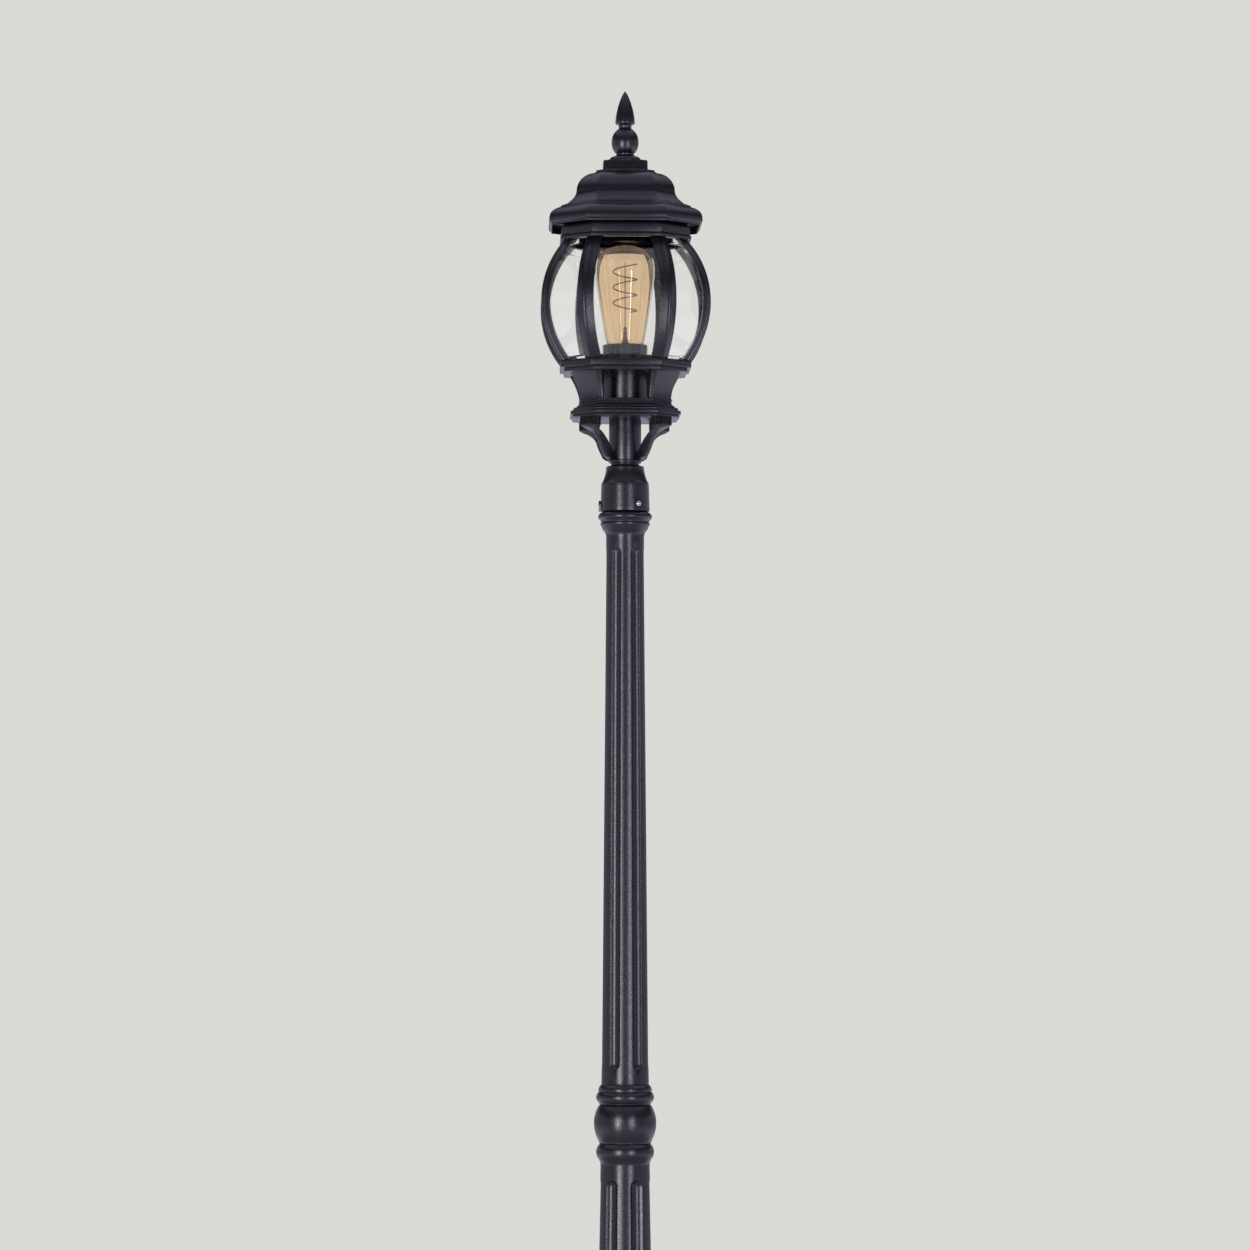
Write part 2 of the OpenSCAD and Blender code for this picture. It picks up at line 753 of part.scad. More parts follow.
// Spearhead over an onion, turned in one piece and tapped for the bolt
module finial() {
  spear_z = 424.2;
  spear_h = z_tip - spear_z;
  onion_z = 403.1;
  outline = concat(
    [[bolt_r + fit, z_finial], [17.4, z_finial], [17.6, z_finial + 1.2]],
    arc(9.6, z_finial + 1.8, 7.8, 0, 78, 5, 4.8),
    [[9.5, z_finial + 7.8]],
    arc(4, onion_z, 10.8, -58, 60, 10, 14.9),
    [[8.4, spear_z - 7.2], [6.9, spear_z - 6.2], [6.9, spear_z - 3.6], [7.3, spear_z - 2.6]],
    [[10.3, spear_z - 1.1]],
    [for (i = [0:9]) let (u = i / 10)
      [10.7 * pow(1 - pow(u, 1.6), 0.8), spear_z + spear_h * u]],
    [[0, z_tip], [0, bolt_z1 + 2], [bolt_r + fit, bolt_z1 + 0.5]]);
  color(black)
  on_top()
  turned(outline);
}

// ---- light ----

// Spun can round the lampholder
module lampholder_can() {
  can_r = 24.3;
  color(black)
  on_top()
  turned([[pipe_r + 0.1, can_z0], [can_r - 1, can_z0], [can_r, can_z0 + 1],
    [can_r, can_z1 - 1], [can_r - 0.6, can_z1], [22, can_z1], [22, can_z0 + can_floor],
    [pipe_r + 0.1, can_z0 + can_floor]]);
}

// Insulating body of the E27 lampholder, with a seat for the centre contact
module lampholder_insert() {
  low = can_z0 + 12.9;
  seat = can_z0 + 37.7;
  high = can_z0 + 70.7;
  color("ivory")
  on_top()
  turned([[4, low], [19, low], [21.9, low + 3.8], [21.9, high - 2], [20.6, high], [16, high],
    [14.3, high - 2.4], [14.3, seat], [4, seat]]);
}

// Brass shell that the bulb's cap screws into
module thread_shell() {
  low = can_z0 + 38.7;
  high = can_z0 + 67.9;
  color("gold")
  on_top()
  turned([[13.1, low], [14.2, low], [14.2, high], [13.4, high], [13.1, high - 0.6]]);
}

module centre_contact() {
  color("gold")
  on_top()
  translate([0, 0, can_z0 + 37.8]) {
    cylinder(h = 1.4, r = 6);
    translate([0, 0, 1.4]) cylinder(h = 1.2, r = 3);
  }
}

// Radius of the bulb's waist at share u of the way up from its neck
function waist(u) = 20.3 + (bulb_r - 20.3) * pow(u, 0.88);

// Bulb's outline from its waist to its tip, set in by inset
function bulb_profile(inset) =
  let (z_waist = 184, z_full = 256, z_dome = 264.5, dome_h = 27, squareness = 2 / 2.3)
  concat(
    [for (i = [0:8]) [waist(i / 8) - inset, z_waist + (z_full - z_waist) * i / 8]],
    [for (i = [0:14]) let (a = 90 * i / 14)
      [(bulb_r - inset) * pow(cos(a), squareness),
        z_dome + (dome_h - inset) * pow(sin(a), squareness)]]);

// Squirrel-cage bulb, a thin glass shell with an open neck
module bulb_glass() {
  skin = 0.9;
  neck_r = 12.2;
  z0 = cap_z + 19.4;
  outside = concat([[neck_r, z0], [neck_r, z0 + 6.4], [neck_r + 1.8, z0 + 9.4]], bulb_profile(0));
  inside = concat([[neck_r - skin, z0], [neck_r - skin, z0 + 7], [neck_r + 1.8 - skin, z0 + 10]],
    bulb_profile(skin));
  color([0.9, 0.6, 0.25, 0.35])
  on_top()
  turned(concat(outside, [for (i = [len(inside) - 1:-1:0]) inside[i]]));
}

// Screw cap with rolled threads
module bulb_cap() {
  thread_z = cap_z + 2;
  pitch = 3.62;
  crest = 13;
  root = 12.6;
  top = cap_z + 25.7;
  outside = concat(
    [[5, cap_z], [11.6, cap_z + 0.4]],
    [for (i = [0:4], s = [0, 1]) [s == 0 ? root : crest, thread_z + pitch * (i + s / 2)]],
    [[crest, thread_z + 18.4], [crest, top]]);
  color("silver")
  on_top()
  turned(concat(outside, [[12.25, top], [12.25, cap_z + 1.6], [5, cap_z + 1.2]]));
}

module bulb_contact() {
  color("dimgray")
  on_top()
  turned([[0, cap_z - 2.85], [3.4, cap_z - 2.85], [4.9, cap_z - 1.4], [4.9, cap_z + 2],
    [0, cap_z + 2]]);
}

// Glass foot and rod that carry the filament
module filament_stem() {
  z0 = cap_z + 15.4;
  color([0.6, 0.5, 0.4])
  on_top()
  turned(concat(
    [[0, z0], [11.2, z0], [11.2, z0 + 2], [6, z0 + 6], [3.6, z0 + 22], [2, z0 + 29.4]],
    arc(0, 194.8, 2.5, -40, 50, 4),
    arc(0, 199.4, 2.2, -50, 76, 5),
    [[0.5, 205], [0.5, 271.4], [0, 271.8]]));
}

// Soft spiral filament: a thin tube along a helix round the rod
module filament() {
  coil_r = 13;
  wire_r = 0.7;
  z_low = 216;
  z_high = 270.4;
  rings = 64;
  sides = 8;
  rise = z_high - z_low;
  slope = atan(rise / filament_turns / (2 * PI * coil_r));
  rows = [for (i = [0:rings])
    let (a = 360 * filament_turns * (i / rings - 1), z = z_low + rise * i / rings)
    [for (k = [0:sides - 1])
      let (
        b = -360 * k / sides,
        radial = coil_r + wire_r * cos(b),
        along = wire_r * sin(b) * sin(slope),
        up = wire_r * sin(b) * cos(slope))
      [radial * cos(a) + along * sin(a), radial * sin(a) - along * cos(a), z + up]]];
  color("orange")
  on_top()
  rows_solid(rows);
}

// Sheathed lead from the lampholder down the pipe
module lantern_lead() {
  color("dimgray")
  on_top()
  translate([0, 0, -64]) cylinder(h = 180, r = lead_r);
}

// Three-way connector on the end of the lead, inside the post
module terminal_block() {
  color("white")
  on_top()
  difference() {
    translate([-10, -7, -98]) cube([20, 14, 34]);
    for (x = [-6.2, 0, 6.2])
      translate([x, 0, -99]) cylinder(h = 10, r = 1.8);
  }
}

// ---- what is drawn ----

base_casting();
base_coupling();
lower_post();
ball_knop();
mid_coupling();
upper_post();
post_spigot();
fitter_collar();
set_screw(0);  // set_screw_1
set_screw(1);  // set_screw_2
set_screw(2);  // set_screw_3
stem_tube();
tie_pipe();
tie_nut();
scroll_arm(-45);  // scroll_arm_1
scroll_arm(45);  // scroll_arm_2
scroll_arm(135);  // scroll_arm_3
scroll_arm(225);  // scroll_arm_4
arm_screws();
bottom_plate();
plate_screws();
neck_casting();
gallery_ring();
rib(0);  // rib_1
rib(1);  // rib_2
rib(2);  // rib_3
rib(3);  // rib_4
rib(4);  // rib_5
rib(5);  // rib_6
rib(6);  // rib_7
rib(7);  // rib_8
clear_panel(180, true);  // wide_panel_1
clear_panel(270, true);  // wide_panel_2
clear_panel(0, true);  // wide_panel_3
clear_panel(90, true);  // wide_panel_4
clear_panel(225, false);  // narrow_panel_1
clear_panel(315, false);  // narrow_panel_2
clear_panel(45, false);  // narrow_panel_3
clear_panel(135, false);  // narrow_panel_4
top_ring();
roof_skirt();
roof_shell();
roof_screws();
finial_bolt();
bolt_nut();
cap_block();
finial();
lampholder_can();
lampholder_insert();
thread_shell();
centre_contact();
bulb_glass();
bulb_cap();
bulb_contact();
filament_stem();
filament();
lantern_lead();
terminal_block();
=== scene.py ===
"""Looks of a garden lamp post: a fluted post and an eight-sided coach lantern.

Metres, +Z up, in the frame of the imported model. The front is -Y.
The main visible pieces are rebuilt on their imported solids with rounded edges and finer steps.
"""
import json
import math

import bmesh
import bpy
from mathutils import Matrix, Vector


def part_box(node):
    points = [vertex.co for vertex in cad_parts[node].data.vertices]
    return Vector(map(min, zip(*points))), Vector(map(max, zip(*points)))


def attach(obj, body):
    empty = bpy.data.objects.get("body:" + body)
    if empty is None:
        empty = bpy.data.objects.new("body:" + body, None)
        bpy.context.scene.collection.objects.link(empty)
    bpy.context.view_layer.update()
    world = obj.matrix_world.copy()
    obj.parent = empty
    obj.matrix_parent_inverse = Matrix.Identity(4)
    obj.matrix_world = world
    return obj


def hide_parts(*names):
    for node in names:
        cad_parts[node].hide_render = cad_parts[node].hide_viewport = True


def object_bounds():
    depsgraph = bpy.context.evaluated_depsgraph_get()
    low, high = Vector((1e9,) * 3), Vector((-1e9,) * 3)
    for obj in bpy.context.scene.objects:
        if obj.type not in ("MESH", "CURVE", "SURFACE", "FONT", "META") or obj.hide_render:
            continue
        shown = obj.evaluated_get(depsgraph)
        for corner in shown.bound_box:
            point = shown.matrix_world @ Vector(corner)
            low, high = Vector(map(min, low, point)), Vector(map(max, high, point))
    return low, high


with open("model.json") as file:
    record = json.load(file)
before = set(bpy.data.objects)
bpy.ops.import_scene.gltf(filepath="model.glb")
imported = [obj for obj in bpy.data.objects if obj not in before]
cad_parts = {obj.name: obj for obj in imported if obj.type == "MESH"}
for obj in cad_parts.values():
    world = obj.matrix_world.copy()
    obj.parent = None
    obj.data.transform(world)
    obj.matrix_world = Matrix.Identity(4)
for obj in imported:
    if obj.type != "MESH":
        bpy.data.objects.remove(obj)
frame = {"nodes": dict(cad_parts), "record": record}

cad_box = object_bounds()
MM = 0.001

# ---- sizes that the looks share with the frame ----

CORE = 15 * MM            # share of each half size that stays square
TILT = math.tan(math.radians(22.5))
RIB_ARC_R = 103 * MM      # arc that the ribs' outer faces follow
RIB_T = 2.8 * MM          # a rib's depth, from its crown to its back
GLASS_T = 2 * MM
GLASS_GAP = 0.15 * MM     # between the ribs' backs and the panels
RIB_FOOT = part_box("rib_1")[0].z
RIB_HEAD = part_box("rib_1")[1].z
WIDEST_Z = RIB_FOOT + 63.1 * MM
WIDEST_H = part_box("rib_1")[1].y


def face(h):
    """Front face's half width where the lantern's half size is h."""
    return CORE + TILT * (h - CORE)


def glazing(z, inset):
    """Half size of the glazed part at height z, set in from the ribs' outer face."""
    return WIDEST_H - RIB_ARC_R + math.sqrt((RIB_ARC_R - inset) ** 2 - (z - WIDEST_Z) ** 2)


# ---- camera, light and floor ----

CAMERA_DISTANCE = 5.425
CAMERA_HEIGHT = 1.176
CAMERA_AZIMUTH = -91.3    # degrees from +X: the object stands turned a little in the picture
CAMERA_TILT = 2.55        # degrees above level
CAMERA_LENS = 144.2
CAMERA_SENSOR = 36        # millimetres, like the lens
CAMERA_REACH = 60         # nothing further away is drawn
CAMERA_SIDESTEP = -0.1 * MM
FLOOR_RADIUS = 1.8
FLOOR_GAP = 0.2 * MM      # between the floor and the foot's underside
BACKDROP = (0.703, 0.703, 0.672, 1)
THROUGH_GLASS = 1.08      # backdrop's level through the clear panels, which turn some away
ROOM_TINT = (0.98, 0.94, 1.2, 1)
# Level of the room's light, from behind the object (0) to the camera's side (1)
ROOM_AROUND = ((0.0, 0.8), (0.3, 0.85), (0.5, 1.0), (0.7, 0.8), (1.0, 0.55))
# Level of the room's light, from straight down (0) to straight up (1)
ROOM_ABOVE = ((0.0, 1.2), (0.36, 1.2), (0.45, 0.5), (0.51, 0.4), (0.55, 0.8), (0.6, 0.7),
              (0.63, 0.1), (0.74, 0.05), (0.8, 0.4), (0.88, 0.9), (1.0, 0.65))


def make_camera():
    data = bpy.data.cameras.new("camera")
    data.lens = CAMERA_LENS
    data.sensor_width = CAMERA_SENSOR
    data.clip_end = CAMERA_REACH
    camera = bpy.data.objects.new("camera", data)
    bpy.context.scene.collection.objects.link(camera)
    a = math.radians(CAMERA_AZIMUTH)
    right = Vector((-math.sin(a), math.cos(a), 0))
    out = Vector((math.cos(a), math.sin(a), 0))
    camera.location = (out * CAMERA_DISTANCE + right * CAMERA_SIDESTEP
                       + Vector((0, 0, CAMERA_HEIGHT)))
    camera.rotation_euler = (math.radians(90 + CAMERA_TILT), 0, a + math.radians(90))
    bpy.context.scene.camera = camera


def softbox(name, azimuth, distance, height, size, power, color):
    """A tall soft light that faces the post's axis."""
    data = bpy.data.lights.new(name, "AREA")
    data.shape = "RECTANGLE"
    data.size, data.size_y = size
    data.energy = power
    data.color = color
    light = bpy.data.objects.new(name, data)
    bpy.context.scene.collection.objects.link(light)
    a = math.radians(azimuth)
    light.location = (distance * math.cos(a), distance * math.sin(a), height)
    light.rotation_euler = (math.radians(90), 0, a + math.radians(90))


def set_stops(ramp, stops):
    """Gives a colour ramp its stops, each a position and a colour."""
    for at, _ in stops[1:-1]:
        ramp.elements.new(at)
    for element, (at, color) in zip(ramp.elements, stops):
        element.position = at
        element.color = (*color, 1)


def make_world():
    """Pale backdrop behind the object, and dim room light that is brightest at its sides."""
    world = bpy.data.worlds.new("pale_studio")
    world.use_nodes = True
    tree = world.node_tree
    tree.nodes.clear()
    link = tree.links.new

    def node(kind, **inputs):
        made = tree.nodes.new(kind)
        for key, value in inputs.items():
            made.inputs[key].default_value = value
        return made

    def level(source, stops):
        """Grey level from a direction's share, which runs from -1 to 1."""
        span = node("ShaderNodeMapRange", **{"From Min": -1, "From Max": 1})
        link(source, span.inputs["Value"])
        ramp = node("ShaderNodeValToRGB")
        set_stops(ramp.color_ramp, [(at, (grey, grey, grey)) for at, grey in stops])
        link(span.outputs["Result"], ramp.inputs[0])
        return ramp.outputs[0]

    def times(color):
        """Multiply node with its first colour linked."""
        made = node("ShaderNodeMixRGB")
        made.blend_type = "MULTIPLY"
        made.inputs[0].default_value = 1
        link(color, made.inputs[1])
        return made

    way = node("ShaderNodeTexCoord").outputs["Generated"]
    up = node("ShaderNodeSeparateXYZ")
    link(way, up.inputs[0])
    front = node("ShaderNodeVectorMath")
    front.operation = "DOT_PRODUCT"
    a = math.radians(CAMERA_AZIMUTH)
    front.inputs[1].default_value = (math.cos(a), math.sin(a), 0)
    link(way, front.inputs[0])
    both = times(level(front.outputs["Value"], ROOM_AROUND))
    link(level(up.outputs["Z"], ROOM_ABOVE), both.inputs[2])
    tint = times(both.outputs[0])
    tint.inputs[2].default_value = ROOM_TINT

    lit = node("ShaderNodeBackground")
    link(tint.outputs[0], lit.inputs["Color"])
    seen = node("ShaderNodeBackground", Color=BACKDROP)
    through = node("ShaderNodeBackground", Color=BACKDROP, Strength=THROUGH_GLASS)
    path = node("ShaderNodeLightPath")
    glass = node("ShaderNodeMixShader")
    link(path.outputs["Is Transmission Ray"], glass.inputs[0])
    link(lit.outputs[0], glass.inputs[1])
    link(through.outputs[0], glass.inputs[2])
    plain = node("ShaderNodeMixShader")
    link(path.outputs["Is Camera Ray"], plain.inputs[0])
    link(glass.outputs[0], plain.inputs[1])
    link(seen.outputs[0], plain.inputs[2])
    link(plain.outputs[0], node("ShaderNodeOutputWorld").inputs[0])
    bpy.context.scene.world = world


# ---- node materials ----

class Paint:
    """A Principled material whose colour, roughness and bump come from noise on the object."""

    def __init__(self, name):
        self.material = bpy.data.materials.new(name)
        self.material.use_nodes = True
        self.tree = self.material.node_tree
        self.shader = self.tree.nodes["Principled BSDF"]
        self.place = self.tree.nodes.new("ShaderNodeTexCoord").outputs["Object"]

    def set(self, **values):
        for key, value in values.items():
            self.shader.inputs[key.replace("_", " ")].default_value = value

    def noise(self, scale, detail=3.0, rough=0.55, stretch=None):
        place = self.place
        if stretch:
            mapping = self.tree.nodes.new("ShaderNodeMapping")
            mapping.inputs["Scale"].default_value = stretch
            self.tree.links.new(place, mapping.inputs["Vector"])
            place = mapping.outputs["Vector"]
        node = self.tree.nodes.new("ShaderNodeTexNoise")
        node.inputs["Scale"].default_value = scale
        node.inputs["Detail"].default_value = detail
        node.inputs["Roughness"].default_value = rough
        self.tree.links.new(place, node.inputs["Vector"])
        return node.outputs["Fac"]

    def cells(self, scale):
        node = self.tree.nodes.new("ShaderNodeTexVoronoi")
        node.feature = "SMOOTH_F1"
        node.inputs["Scale"].default_value = scale
        self.tree.links.new(self.place, node.inputs["Vector"])
        return node.outputs["Distance"]

    def color(self, source, dark, light, low=0.3, high=0.7):
        """Base colour between two tones, over that stretch of the noise."""
        ramp = self.tree.nodes.new("ShaderNodeValToRGB")
        set_stops(ramp.color_ramp, [(low, dark), (high, light)])
        self.tree.links.new(source, ramp.inputs[0])
        self.tree.links.new(ramp.outputs[0], self.shader.inputs["Base Color"])

    def rough(self, source, smooth, coarse, low=0.3, high=0.7):
        """Roughness between two values, over that stretch of the noise."""
        node = self.tree.nodes.new("ShaderNodeMapRange")
        node.inputs["From Min"].default_value = low
        node.inputs["From Max"].default_value = high
        node.inputs["To Min"].default_value = smooth
        node.inputs["To Max"].default_value = coarse
        self.tree.links.new(source, node.inputs["Value"])
        self.tree.links.new(node.outputs["Result"], self.shader.inputs["Roughness"])

    def bump(self, *layers):
        """Each layer is (source, distance in metres, strength)."""
        normal = None
        for source, distance, strength in layers:
            node = self.tree.nodes.new("ShaderNodeBump")
            node.inputs["Distance"].default_value = distance
            node.inputs["Strength"].default_value = strength
            self.tree.links.new(source, node.inputs["Height"])
            if normal:
                self.tree.links.new(normal, node.inputs["Normal"])
            normal = node.outputs["Normal"]
        self.tree.links.new(normal, self.shader.inputs["Normal"])


def powder_coat():
    """Satin black powder coat: an orange-peel skin under a finer grain."""
    p = Paint("powder_coat")
    peel = p.noise(620, 2.0)
    grain = p.cells(2400)
    p.color(p.noise(55, 4.0), (0.0034, 0.0031, 0.005), (0.006, 0.0055, 0.0082))
    p.rough(p.noise(260, 3.0), 0.25, 0.32)
    p.bump((peel, 0.3 * MM, 0.2), (grain, 0.14 * MM, 0.3))
    p.set(Specular_IOR_Level=0.55)
    return p.material


def plated_steel():
    p = Paint("plated_steel")
    brushed = p.noise(900, 3.0, stretch=(1, 1, 0.15))
    p.color(p.noise(140, 3.0), (0.60, 0.60, 0.58), (0.74, 0.74, 0.73))
    p.rough(brushed, 0.2, 0.34)
    p.bump((brushed, 0.05 * MM, 0.3))
    p.set(Metallic=1.0)
    return p.material


def rolled_brass():
    p = Paint("rolled_brass")
    scratch = p.noise(800, 3.0, stretch=(1, 1, 0.2))
    p.color(p.noise(160, 3.0), (0.62, 0.44, 0.17), (0.8, 0.62, 0.3))
    p.rough(scratch, 0.2, 0.36)
    p.bump((scratch, 0.04 * MM, 0.3))
    p.set(Metallic=1.0)
    return p.material


def plastic(name, dark, light, smooth, coarse):
    """Moulded plastic with a fine spark-eroded skin."""
    p = Paint(name)
    grain = p.noise(700, 4.0)
    p.color(p.noise(90, 3.0), dark, light)
    p.rough(grain, smooth, coarse)
    p.bump((grain, 0.08 * MM, 0.3))
    return p.material


def clear_panel_look():
    """Clear moulded panel, with the slow waves of a mould in its face."""
    p = Paint("clear_panel")
    p.color(p.noise(14, 2.0), (0.985, 0.992, 0.99), (0.995, 1.0, 0.998))
    p.rough(p.noise(60, 3.0), 0.0, 0.035)
    p.bump((p.noise(22, 2.0), 0.8 * MM, 0.06))
    p.set(Transmission_Weight=1.0, IOR=1.49)
    return p.material


def amber_glass():
    """Tinted bulb glass, drawn out in faint vertical streaks."""
    p = Paint("amber_glass")
    streak = p.noise(60, 3.0, stretch=(1, 1, 0.08))
    p.color(streak, (0.95, 0.76, 0.54), (0.98, 0.85, 0.68))
    p.rough(streak, 0.0, 0.03)
    p.bump((streak, 0.6 * MM, 0.12))
    p.set(Transmission_Weight=1.0, IOR=1.45)
    return p.material


def stem_glass():
    """Smoky glass of the stem that carries the filament."""
    p = Paint("stem_glass")
    p.color(p.noise(300, 2.0), (0.16, 0.11, 0.08), (0.3, 0.22, 0.16))
    p.rough(p.noise(500, 2.0), 0.2, 0.32)
    p.bump((p.noise(700, 2.0), 0.1 * MM, 0.3))
    return p.material


def filament_coat():
    """Orange-brown phosphor with a granular skin."""
    p = Paint("filament_coat")
    grain = p.noise(1800, 3.0)
    p.color(grain, (0.46, 0.10, 0.02), (0.70, 0.2, 0.04), low=0.35, high=0.65)
    p.rough(grain, 0.4, 0.6)
    p.bump((grain, 0.1 * MM, 0.5))
    return p.material


def floor_look():
    p = Paint("pale_floor")
    p.color(p.noise(3, 4.0), (0.66, 0.66, 0.64), (0.70, 0.70, 0.68))
    p.rough(p.noise(12, 3.0), 0.6, 0.75)
    p.bump((p.noise(40, 3.0), 0.4 * MM, 0.2))
    return p.material


LOOKS = {
    "black_casting": powder_coat(),
    "plated_steel": plated_steel(),
    "brass": rolled_brass(),
    "clear_panel": clear_panel_look(),
    "bulb_glass": amber_glass(),
    "bulb_cap": rolled_brass(),
    "contact": plastic("contact", (0.015, 0.015, 0.016), (0.03, 0.03, 0.03), 0.35, 0.5),
    "holder_insert": plastic("phenolic", (0.02, 0.018, 0.018), (0.035, 0.032, 0.03), 0.4, 0.55),
    "stem_glass": stem_glass(),
    "filament": filament_coat(),
    "lead_sheath": plastic("lead_sheath", (0.02, 0.02, 0.022), (0.035, 0.035, 0.036), 0.5, 0.65),
    "terminal": plastic("terminal", (0.7, 0.69, 0.66), (0.78, 0.77, 0.74), 0.35, 0.5),
}
SLOT = {s["node"]: s["material_slot"] for s in frame["record"]["subparts"]}
BODY = {n: b for b, members in frame["record"]["behaviour"]["bodies"].items() for n in members}


# ---- mesh tools ----

WELD = 1e-6               # corners nearer than this are one
FLAT_ANGLE = 0.002        # radians: faces that meet flatter than this are one
CORNER_STEPS = 3          # steps round a rounded corner of an outline
CORNER_SHARE = 0.45       # most of a side that its rounded corner may take


def finish_mesh(bm, name, node, sharp=30):
    """Makes a piece of a bmesh that stands for a node: smooth, with edges over sharp kept."""
    bmesh.ops.recalc_face_normals(bm, faces=bm.faces)
    limit = math.radians(sharp)
    for f in bm.faces:
        f.smooth = True
    for e in bm.edges:
        e.smooth = e.calc_face_angle(0) < limit
    mesh = bpy.data.meshes.new(name)
    bm.to_mesh(mesh)
    bm.free()
    piece = bpy.data.objects.new(name, mesh)
    bpy.context.scene.collection.objects.link(piece)
    mesh.materials.append(LOOKS[SLOT[node]])
    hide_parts(node)
    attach(piece, BODY[node])


def welded(node):
    """The node's own solid with its corners joined up."""
    bm = bmesh.new()
    bm.from_mesh(frame["nodes"][node].data)
    bmesh.ops.remove_doubles(bm, verts=bm.verts, dist=WELD)
    return bm


def skin(node, radius, steps=2, corner=28):
    """The node's solid with its flat faces whole again and its corners rounded."""
    bm = welded(node)
    bmesh.ops.dissolve_limit(bm, angle_limit=FLAT_ANGLE, verts=bm.verts, edges=bm.edges)
    limit = math.radians(corner)
    edges = [e for e in bm.edges if e.calc_face_angle(0) > limit]
    bmesh.ops.bevel(bm, geom=edges, offset=radius, offset_type="OFFSET", segments=steps,
                    profile=0.5, affect="EDGES", clamp_overlap=True)
    finish_mesh(bm, node + "_skin", node, sharp=40)


def meridian(node):
    """Outline of a turned node as (radius, height) points, from its edges at azimuth 0.

    Also says whether the outline is closed: an open one starts and ends on the axis.
    """
    bm = welded(node)
    near = 2 * WELD
    on = [v for v in bm.verts if abs(v.co.y) < near and v.co.x > -near]
    keep = set(on)
    links = {v: [e.other_vert(v) for e in v.link_edges if e.other_vert(v) in keep] for v in on}
    ends = [v for v in on if v.co.x < near and len(links[v]) == 1]
    start = min(ends or on, key=lambda v: (v.co.z, v.co.x))
    path = []
    onward = [start]
    while onward:
        path.append(onward[0])
        onward = [v for v in links[path[-1]] if v not in path]
    outline = [(max(v.co.x, 0.0), v.co.z) for v in path]
    bm.free()
    return outline, not ends


def rounded(points, radius, closed, least=24):
    """An outline whose corners sharper than the least angle are rounded inside it."""
    out = []
    n = len(points)
    for i, p in enumerate(points):
        if not closed and i in (0, n - 1):
            out.append(p)
            continue
        here = Vector(p)
        back = Vector(points[i - 1]) - here
        on = Vector(points[(i + 1) % n]) - here
        turn = math.degrees(math.pi - back.angle(on)) if back.length and on.length else 0
        if turn < least:
            out.append(p)
            continue
        reach = min(radius, CORNER_SHARE * back.length, CORNER_SHARE * on.length)
        a = here + back.normalized() * reach
        b = here + on.normalized() * reach
        for k in range(CORNER_STEPS + 1):
            t = k / CORNER_STEPS
            q = a * (1 - t) ** 2 + here * 2 * t * (1 - t) + b * t * t
            out.append((q.x, q.y))
    return out


def lathe(outline, closed, segments):
    """Solid of revolution; points on the axis become poles."""
    bm = bmesh.new()
    rings = []
    for r, z in outline:
        if r < WELD:
            rings.append([bm.verts.new((0, 0, z))])
            continue
        rings.append([bm.verts.new((r * math.cos(a), r * math.sin(a), z))
                      for a in (2 * math.pi * k / segments for k in range(segments))])
    pairs = list(zip(rings, rings[1:])) + ([(rings[-1], rings[0])] if closed else [])
    for low, high in pairs:
        for k in range(segments):
            j = (k + 1) % segments
            corners = [low[k % len(low)], low[j % len(low)],
                       high[j % len(high)], high[k % len(high)]]
            corners = list(dict.fromkeys(corners))
            if len(corners) > 2:
                bm.faces.new(corners)
    return bm


def turned(node, radius=0.4 * MM, segments=128):
    """A turned node made again with finer steps and rounded corners."""
    outline, closed = meridian(node)
    finish_mesh(lathe(rounded(outline, radius, closed), closed, segments),
                node + "_turned", node)


def strip(rows):
    """Closed bar through rows of points, with flat ends."""
    bm = bmesh.new()
    made = [[bm.verts.new(p) for p in row] for row in rows]
    count = len(made[0])
    for low, high in zip(made, made[1:]):
        for k in range(count):
            j = (k + 1) % count
            bm.faces.new([low[k], low[j], high[j], high[k]])
    bm.faces.new(made[0][::-1])
    bm.faces.new(made[-1])
    return bm


# ---- fluted post lengths ----

# The flutes of each post length, in millimetres from its foot and degrees: the shaft's radius
# where they start and end, those two heights, their half widths there, and the first one's turn
FLUTES = {
    "lower_post": {"radii": (37.1, 26.6), "ends": (70, 568.3), "halves": (8.6, 6.7), "turn": -3.9},
    "upper_post": {"radii": (25.5, 20.6), "ends": (39.2, 601.5), "halves": (5.9, 5.2), "turn": 1.9},
}
FLUTE_COUNT = 6
FLUTE_EDGE = 0.5 * MM     # how far the corner along a flute's edge is rounded
FLUTE_STEP = 6 * MM       # between rows along a flute
FLUTE_TIP = 9 * MM        # stretch at each end of a flute that has closer rows
FLUTE_TIP_ROWS = 14
FLUTE_MARGIN = 0.6 * MM   # the shaft keeps a row this far past each end of a flute
CUTTER_STAND = 5 * MM     # how far outside the shaft each flute's cutter runs
BORE_CLEAR = 1 * MM       # corners nearer the bore than this belong to it
SHAFT_LEAST = 200 * MM    # only the shaft has corners further apart than this


def from_flute(azimuth, turn, pitch):
    """Angle from the middle of the nearest flute."""
    return (azimuth - turn + pitch / 2) % pitch - pitch / 2


def cutter_radius(r, w):
    """Radius of a cutter that meets a shaft of radius r at distance w from the flute's middle."""
    return math.hypot(r + CUTTER_STAND - math.sqrt(r * r - w * w), w)


